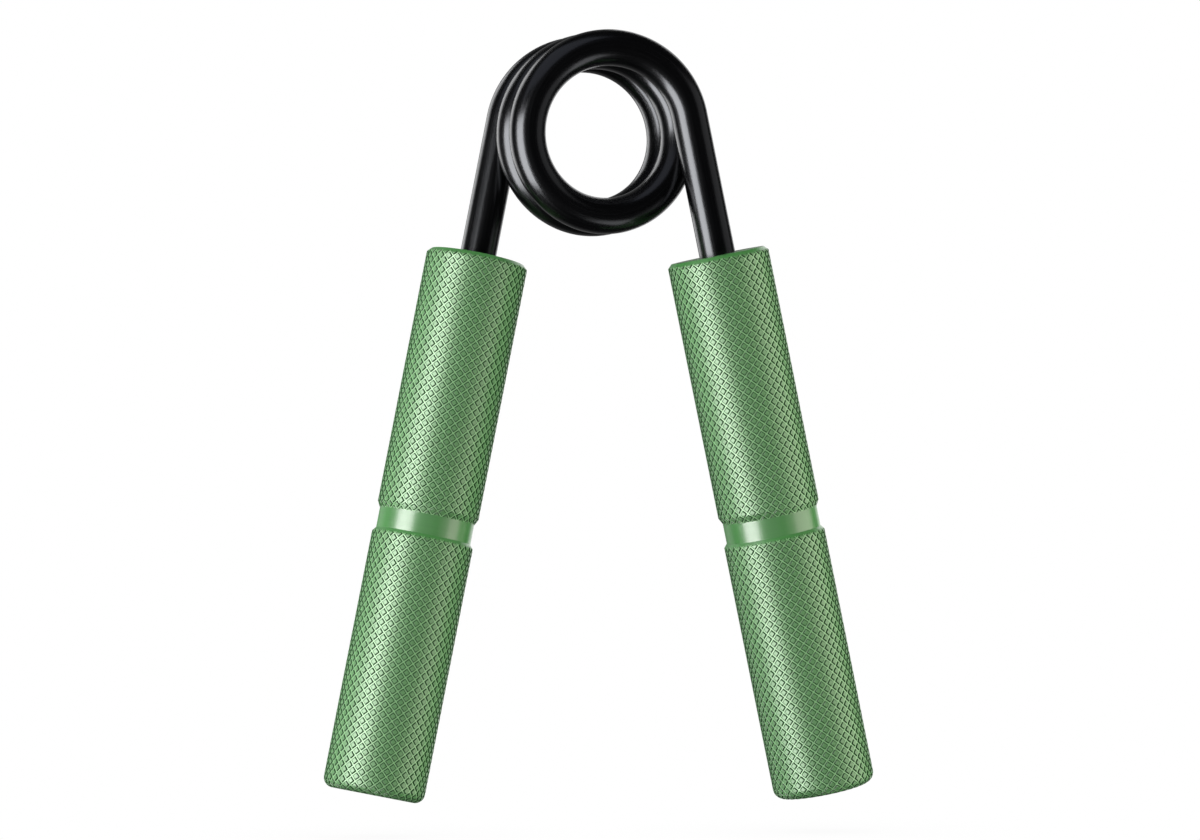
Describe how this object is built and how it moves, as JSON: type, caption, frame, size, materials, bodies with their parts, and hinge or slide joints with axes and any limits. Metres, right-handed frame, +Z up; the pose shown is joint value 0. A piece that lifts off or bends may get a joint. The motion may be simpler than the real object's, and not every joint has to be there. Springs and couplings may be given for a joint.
{
  "type": "hand grip strengthener",
  "caption": "Torsion-spring hand grip strengthener: an open coil of black steel wire with a leg in each diamond-knurled, green anodised aluminium handle.",
  "frame": {"origin": "centre of the coil, on the axis that the handles turn about", "axes": "+Z up, with the handles hanging down; +Y along the coil's axis, from the front leg to the back leg; +X to the right"},
  "size_m": [0.1058, 0.0386, 0.1501],
  "materials": {
    "spring_wire": "gloss black spring steel wire",
    "green_anodised": "green anodised aluminium, diamond knurled with one smooth turned ring"
  },
  "bodies": {
    "spring": {"spring": "spring_wire"},
    "right_handle": {"right_handle": "green_anodised"},
    "left_handle": {"left_handle": "green_anodised"}
  },
  "joints": [
    {"name": "right_squeeze", "type": "hinge", "parent": "spring", "child": "right_handle", "pos_m": [0, 0, 0], "axis": [0, 1, 0], "range_deg": [0, 17.1], "stiffness_Nm_per_rad": 201, "deforming": ["spring"]},
    {"name": "left_squeeze", "type": "hinge", "parent": "spring", "child": "left_handle", "pos_m": [0, 0, 0], "axis": [0, -1, 0], "range_deg": [0, 17.1], "stiffness_Nm_per_rad": 201, "deforming": ["spring"]}
  ],
  "couplings": [
    {"joint": "left_squeeze", "follows": "right_squeeze", "ratio": 1}
  ]
}
